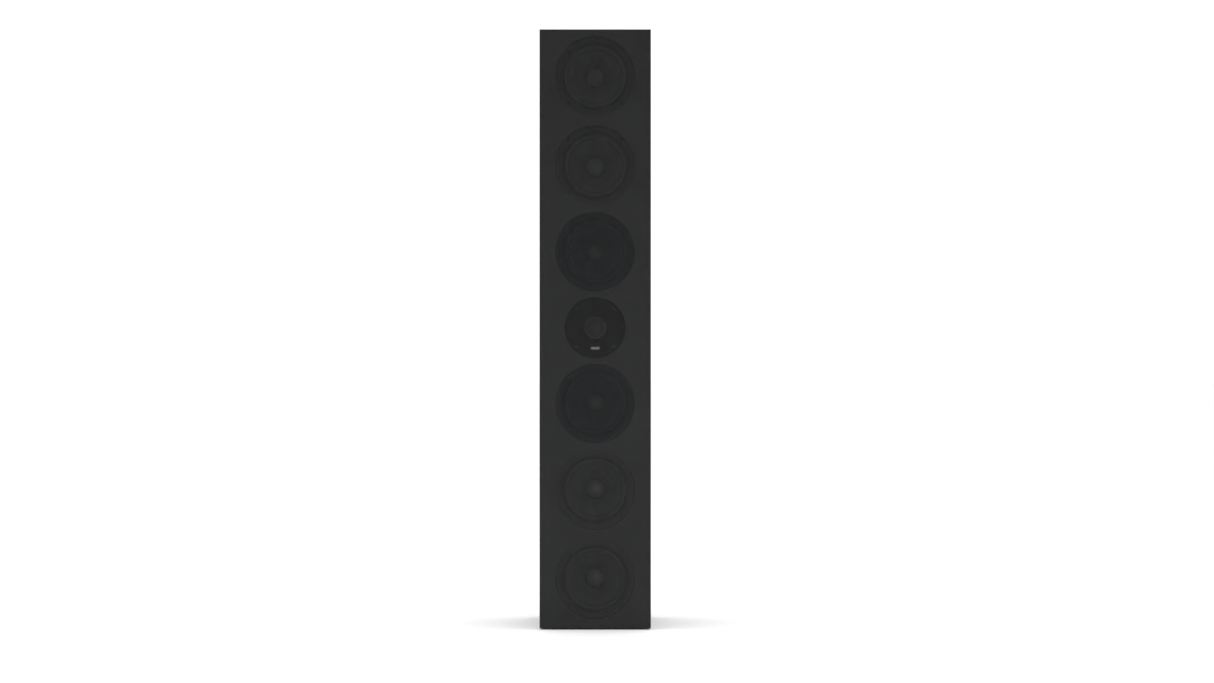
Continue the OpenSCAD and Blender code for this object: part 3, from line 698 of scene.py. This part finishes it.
feet = []
for fx in (-0.062, 0.062):
    for fy in (-0.072, 0.086):
        outline = [(4.4, 0.5), (4.8, 0.0), (12.2, 0.0)] + arc(12.2, 1.8, 1.8, -90, 0, 8) + [
            (14.0, 4.6), (13.7, 4.9), (2.0, 4.9), (1.8, 4.7), (1.8, 2.5), (4.4, 2.5)]
        foot = lathe("foot", outline, (0, 0, 0), False, M["rubber_black"], 96)
        foot.matrix_world = Matrix.Translation((fx, fy, 0)) @ Matrix.Rotation(math.pi / 2, 4, "X")
        feet.append(foot)
bpy.context.view_layer.update()
place(joined("rubber_feet_turned", feet, M["rubber_black"]), "cabinet", "rubber_black", "rubber_feet")

# ------------------------------------------------------------------ inside the cabinet


def islands(node):
    """The boxes of a node's separate solids."""
    bm = bmesh.new()
    bm.from_mesh(nodes[node].data)
    bmesh.ops.remove_doubles(bm, verts=bm.verts, dist=1e-6)
    seen, boxes = set(), []
    for v in bm.verts:
        if v.index in seen:
            continue
        seen.add(v.index)
        stack, pts = [v], []
        while stack:
            u = stack.pop()
            pts.append(tuple(u.co))
            for e in u.link_edges:
                w = e.other_vert(u)
                if w.index not in seen:
                    seen.add(w.index)
                    stack.append(w)
        a = np.array(pts)
        boxes.append((a.min(0), a.max(0)))
    bm.free()
    return sorted(boxes, key=lambda b: (round(b[0][2], 4), round(b[0][0], 4)))


def wad(i, lo, hi):
    """A cut pad of loose wadding: flat on the wall, rounded over at its cut edges and uneven on its free face."""
    wall = lo[0] if lo[0] < 0 else hi[0]
    free = hi[0] if lo[0] < 0 else lo[0]
    thick = free - wall
    ny, nz = 22, max(16, int((hi[2] - lo[2]) / 0.0075))
    verts, faces, index = [], [], {}
    for side in (0, 1):
        for a in range(ny + 1):
            for b in range(nz + 1):
                u, v = a / ny, b / nz
                if side and (a in (0, ny) or b in (0, nz)):
                    index[(1, a, b)] = index[(0, a, b)]
                    continue
                y = lo[1] + (hi[1] - lo[1]) * u
                z = lo[2] + (hi[2] - lo[2]) * v
                edge = min(min(u, 1 - u) * (hi[1] - lo[1]), min(v, 1 - v) * (hi[2] - lo[2])) / 0.011
                swell = math.sqrt(max(0.0, 1 - (1 - min(1.0, edge)) ** 2))
                lump = 0.5 + 0.5 * noise.fractal(Vector((i * 3.7, y * 55, z * 55)), 0.9, 2.1, 4)
                lump = min(1.0, max(0.0, lump))
                x = wall if side == 0 else wall + thick * swell * (0.74 + 0.26 * lump)
                pull = 0.0012 * noise.noise(Vector((i * 1.3, y * 90, z * 90 + side * 5))) if side == 0 else 0.0
                index[(side, a, b)] = len(verts)
                verts.append((x, min(hi[1], max(lo[1], y + pull)), min(hi[2], max(lo[2], z + pull))))
    for side in (0, 1):
        for a in range(ny):
            for b in range(nz):
                quad = [index[(side, a, b)], index[(side, a + 1, b)], index[(side, a + 1, b + 1)], index[(side, a, b + 1)]]
                if len(set(quad)) == 4:
                    faces.append(quad if side else quad[::-1])
    return build("wad_%d" % i, verts, faces, M["wadding"], 80.0)


pads = joined("damping_wadding_pads", [wad(i, lo, hi) for i, (lo, hi) in enumerate(islands("damping_pads"))], M["wadding"])
place(pads, "cabinet", "wadding", "damping_pads")


def coil(i, lo, hi):
    """An air coil: turns of round wire side by side on every face of the winding."""
    cx, cy = (lo[0] + hi[0]) / 2 * 1000, (lo[1] + hi[1]) / 2 * 1000
    r1, h = (hi[0] - lo[0]) / 2 * 1000, (hi[2] - lo[2]) * 1000
    r0, wire = r1 * 0.42, 1.25
    line = []

    def run(p, q):
        n = max(3, round(math.hypot(q[0] - p[0], q[1] - p[1]) / wire))
        ux, uy = (q[0] - p[0]) / n, (q[1] - p[1]) / n
        for k in range(n):
            for t in (0.0, 0.22, 0.5, 0.78):
                dip = 0.28 * wire * (1 - math.sin(math.pi * t)) ** 1.5
                s = k + t
                length = math.hypot(ux, uy)
                line.append((p[0] + ux * s - uy / length * dip, p[1] + uy * s + ux / length * dip))
    run((r1, 0), (r1, h))
    run((r1, h), (r0, h))
    run((r0, h), (r0, 0))
    run((r0, 0), (r1, 0))
    o = lathe("coil_%d" % i, line, (0, 0, 0), False, M["copper_winding"], 72, sharp=75.0)
    o.matrix_world = Matrix.Translation((cx * MM, cy * MM, lo[2])) @ Matrix.Rotation(math.pi / 2, 4, "X")
    return o


coils = [coil(i, lo, hi) for i, (lo, hi) in enumerate(islands("crossover_inductors"))]
bpy.context.view_layer.update()
place(joined("crossover_air_coils", coils, M["copper_winding"]), "cabinet", slot_of["crossover_inductors"], "crossover_inductors")

eased_copy("crossover_resistors", M["cement"], lambda e: 0.0006, "cabinet", slot_of["crossover_resistors"], segments=3, sharp=50.0)
eased_copy("crossover_capacitors", M["yellow_film"], lambda e: 0.0007 if e.verts[0].co.x == e.verts[1].co.x or abs(e.verts[0].co.x - e.verts[1].co.x) < 1e-6 else 0,
           "cabinet", slot_of["crossover_capacitors"], segments=3, sharp=50.0)
eased_copy("internal_wiring", M["wire_insulation"], None, "cabinet", slot_of["internal_wiring"], sharp=60.0)

# ------------------------------------------------------------------ grille cloth

def grille_sheet():
    """One cut of cloth over the front of the frame, down its sides and turned in behind it."""
    hx, z0, z1 = FRAME_HI.x, FRAME_LO.z, FRAME_HI.z
    zc, hz = (z0 + z1) / 2, (z1 - z0) / 2
    y_front, y_back = CLOTH_LO.y, FRAME_HI.y
    t = CLOTH_HI.x - hx                        # room for the cloth beside the frame
    verts, loops = [], []

    def ring(out, y, corner):
        """A rectangle this far outside the frame's sides, at this depth, with rounded corners."""
        ax, az = hx + out, hz + out
        pts = []
        for sx, sz, a0 in ((1, 1, 0), (-1, 1, 90), (-1, -1, 180), (1, -1, 270)):
            for i in range(7):
                a = math.radians(a0 + 15 * i)
                pts.append((sx * (ax - corner) + corner * math.cos(a), y, zc + sz * (az - corner) + corner * math.sin(a)))
        loops.append(list(range(len(verts), len(verts) + len(pts))))
        verts.extend(pts)

    lip = 0.0006
    ring(t - 0.004, y_front, 0.0006)
    ring(t - lip - 0.0004, y_front, 0.0007)
    for i in range(7):                          # over the front edge
        a = math.radians(90 - 15 * i)
        ring(t - lip + lip * math.cos(a), y_front + lip - lip * math.sin(a), 0.0008)
    ring(t, y_front + lip + 0.0004, 0.0008)
    ring(t, y_back - 0.0007, 0.0008)
    for i in range(7):                          # round the back edge
        a = math.radians(15 * i)
        ring(t - lip + lip * math.cos(a), y_back - 0.0001 + lip * math.sin(a) - 0.0002, 0.0008)
    ring(t - 0.004, y_back + 0.0003, 0.0006)
    ring(t - 0.0085, y_back + 0.0003, 0.0006)
    faces = []
    n = len(loops[0])
    for a, b in zip(loops, loops[1:]):
        for k in range(n):
            j = (k + 1) % n
            faces.append((a[k], b[k], b[j], a[j]))
    faces.append(tuple(reversed(loops[0])))
    o = build("grille_cloth_sheet", verts, faces, M["grille_cloth"], 70.0)
    place(o, "grille", "grille_cloth", "grille_cloth")
    return o


grille_sheet()


def frame_edge(e):
    """Outer edges and the front rims of the windows."""
    a, b = (v.co for v in e.verts)
    if abs(a.y - FRAME_LO.y) < 2e-5 and abs(b.y - FRAME_LO.y) < 2e-5:
        return 0.0005
    return 0


eased_copy("grille_frame", FRAME_PLASTIC, frame_edge, "grille", slot_of["grille_frame"], segments=2, sharp=40.0)

# ------------------------------------------------------------------ cone drivers

CONE_OUT, NECK_R, NECK_Z, SEAT = 43.0, 13.05, -28.0, -4.5


def cone_height(r):
    return SEAT - 0.05 - (SEAT - NECK_Z) * max(0.0, (CONE_OUT - r) / (CONE_OUT - NECK_R)) ** 1.2


for d in CONES:
    z0 = DRIVER_Z[d]
    at = (0.0, FACE, z0)
    body = d + "_moving"
    woofer = d.startswith("woofer")

    # cone: gently flared, with one formed rib, and a turned edge under the rubber
    line = [(46.0, SEAT - 0.06), (44.5, SEAT - 0.06)]
    for i in range(61):
        r = CONE_OUT - (CONE_OUT - NECK_R) * i / 60
        rib = 0.35 * math.exp(-((r - 33.0) / 1.1) ** 2) + (0.3 * math.exp(-((r - 26.5) / 1.0) ** 2) if woofer else 0.0)
        line.append((r, cone_height(r) + rib))
    skin = nodes[d + "_cone"].data.materials[0]
    cone = lathe(d + "_cone_shell", thicken(line, 0.7), at, True, skin, 160)
    place(cone, body, "cone_black", d + "_cone")

    # dust cap with its glued rim
    r, h = (18.0, 7.0) if woofer else (15.0, 4.0)
    base = cone_height(r) + 0.12
    line = [(r + 0.5, base - 0.05), (r + 0.35, base + 0.25), (r - 0.1, base + 0.42), (r - 0.5, base + 0.55)]
    line += [(x, base + 0.5 + z) for x, z in arc(0.0, 0.0, r - 0.6, 4, 90, 30, h - 0.5)]
    line[-1] = (0.0, base + h)
    inner = [(0.0, base + h - 0.7)] + [(x, base + z) for x, z in arc(0.0, 0.0, r - 1.4, 88, 0, 30, h - 0.75)]
    cap = lathe(d + "_dust_cap_shell", line + inner, at, True, M["cap_black"] if woofer else MIDRANGE_CAP, 128)
    place(cap, body, "cap_black", d + "_dust_cap")

    # half-roll rubber edge
    top = [(59.2, SEAT + 0.8), (55.6, SEAT + 0.8)] + arc(50.0, SEAT + 0.8, 5.0, 4, 176, 28) + [(44.5, SEAT + 0.8), (43.2, SEAT + 0.7), (42.9, SEAT + 0.15)]
    under = [(43.2, SEAT + 0.01), (45.9, SEAT + 0.01)] + arc(50.0, SEAT + 0.3, 4.2, 176, 4, 28) + [(54.6, SEAT + 0.01), (59.2, SEAT + 0.01)]
    edge = lathe(d + "_roll_edge", top + under, at, True, ROLL[d.split("_")[0]], 160)
    flexing(edge)

    # corrugated spider
    line = [(13.1, -38.4)] + [(13.5 + 0.25 * i, -38.4 - 0.9 * math.sin(math.radians((13.5 + 0.25 * i - 15) * 90)) * min(1.0, i / 6, (90 - i) / 6)) for i in range(91)] + [(41.0, -38.35)]
    disc = lathe(d + "_spider_disc", thicken(line, 0.45), at, True, M["spider_cloth"], 96)
    flexing(disc)

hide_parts("driver_spiders")

# ------------------------------------------------------------------ tweeter

TW = (0.0, FACE, TWEETER_Z)
line = [(14.0, -7.48)] + arc(0.0, -7.5, 13.9, 1, 90, 34, 5.0)
line[-1] = (0.0, -2.5)
inner = [(0.0, -2.85)] + arc(0.0, -7.88, 13.55, 89, 0, 34, 5.0)
dome = lathe("tweeter_dome_shell", line + inner, TW, True, M["dome_fabric"], 128)
place(dome, "tweeter_moving", "dome_fabric", "tweeter_dome")

top = [(19.8, -7.6), (17.3, -7.6)] + arc(15.65, -7.6, 1.45, 5, 175, 14, 1.2) + [(14.1, -7.55)]
under = [(14.1, -7.95)] + arc(15.65, -7.9, 1.15, 175, 5, 14, 1.2) + [(17.3, -7.95), (19.8, -7.95)]
edge = lathe("tweeter_roll_edge", top + under, TW, True, M["dome_fabric"], 128)
flexing(edge)
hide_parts("driver_surrounds")

# the guard: the perforated disc pressed into a shallow bowl
me = nodes["tweeter_guard"].data.copy()
bm = bmesh.new()
bm.from_mesh(me)
bmesh.ops.remove_doubles(bm, verts=bm.verts, dist=1e-6)
for v in bm.verts:
    r = math.hypot(v.co.x, v.co.z - TWEETER_Z)
    v.co.y -= 0.0026 * max(0.0, 1 - (r / 0.0172) ** 2)
finish_bm(bm, me, 40.0)
guard = bpy.data.objects.new("tweeter_guard_bowl", me)
bpy.context.scene.collection.objects.link(guard)
me.materials.clear()
me.materials.append(GUARD)
place(guard, "cabinet", "black_steel", "tweeter_guard")

def badge_edge(e):
    a, b = (v.co for v in e.verts)
    return 0.00018 if abs(a.y - b.y) < 1e-6 and a.y < FACE - 0.0004 else 0


eased_copy("badge_plate", M["badge_silver"], badge_edge, "cabinet", "badge_silver", segments=3)

# ------------------------------------------------------------------ floor, light and camera

bpy.ops.mesh.primitive_plane_add(size=60, location=(0, 0, 0))
floor = bpy.context.object
floor.name = "studio_floor"
floor.data.materials.append(studio_floor())
floor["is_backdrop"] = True

world = bpy.data.worlds.new("studio")
bpy.context.scene.world = world
world.use_nodes = True
world.node_tree.nodes["Background"].inputs[0].default_value = (1.0, 1.0, 1.0, 1.0)
world.node_tree.nodes["Background"].inputs[1].default_value = 1.09


def softbox(name, at, look, size, energy, tint=(1, 1, 1)):
    light = bpy.data.lights.new(name, "AREA")
    light.shape = "RECTANGLE"
    light.size, light.size_y = size
    light.energy = energy
    light.color = tint
    o = bpy.data.objects.new(name, light)
    bpy.context.scene.collection.objects.link(o)
    o.location = at
    o.rotation_euler = (Vector(look) - Vector(at)).to_track_quat("-Z", "Y").to_euler()


softbox("softbox_top", (0.0, -0.5, 3.4), (0, -0.3, 0), (4.0, 3.6), 34)
softbox("softbox_key", (2.7, -5.2, 1.7), (0, 0, 0.5), (1.0, 1.5), 14)
softbox("softbox_left", (-3.6, -1.4, 1.6), (0, 0, 0.5), (1.6, 2.4), 8)
softbox("softbox_back", (1.8, 4.2, 1.8), (0, 0, 0.5), (1.8, 2.2), 9)

spot = bpy.data.lights.new("low_fill", "SPOT")
spot.energy = 235
spot.spot_size = math.radians(24)
spot.spot_blend = 1.0
spot.shadow_soft_size = 0.35
fill = bpy.data.objects.new("low_fill", spot)
bpy.context.scene.collection.objects.link(fill)
fill.location = (0.5, -4.6, 0.25)
fill.rotation_euler = (Vector((0, 0, -0.05)) - fill.location).to_track_quat("-Z", "Y").to_euler()

DISTANCE = 5.0                       # from the front of the grille
PIXELS_PER_METRE = 592.5             # scale of the 1214-pixel-wide picture at that distance
camera = bpy.data.cameras.new("camera")
camera.sensor_width = 36.0
camera.sensor_fit = "HORIZONTAL"
camera.lens = PIXELS_PER_METRE * DISTANCE * 36.0 / 1214.0
camera.clip_end = 200
cam = bpy.data.objects.new("camera", camera)
bpy.context.scene.collection.objects.link(cam)
cam.location = (11.8 / PIXELS_PER_METRE, OBJECT_LO.y - DISTANCE, OBJECT_HI.z / 2 - 12.1 / PIXELS_PER_METRE)
cam.rotation_euler = (math.pi / 2, 0, 0)
bpy.context.scene.camera = cam
bpy.context.scene.view_settings.view_transform = "Standard"
bpy.context.scene.view_settings.look = "None"

{"cad": cad_bounds, "visual": plain(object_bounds())}
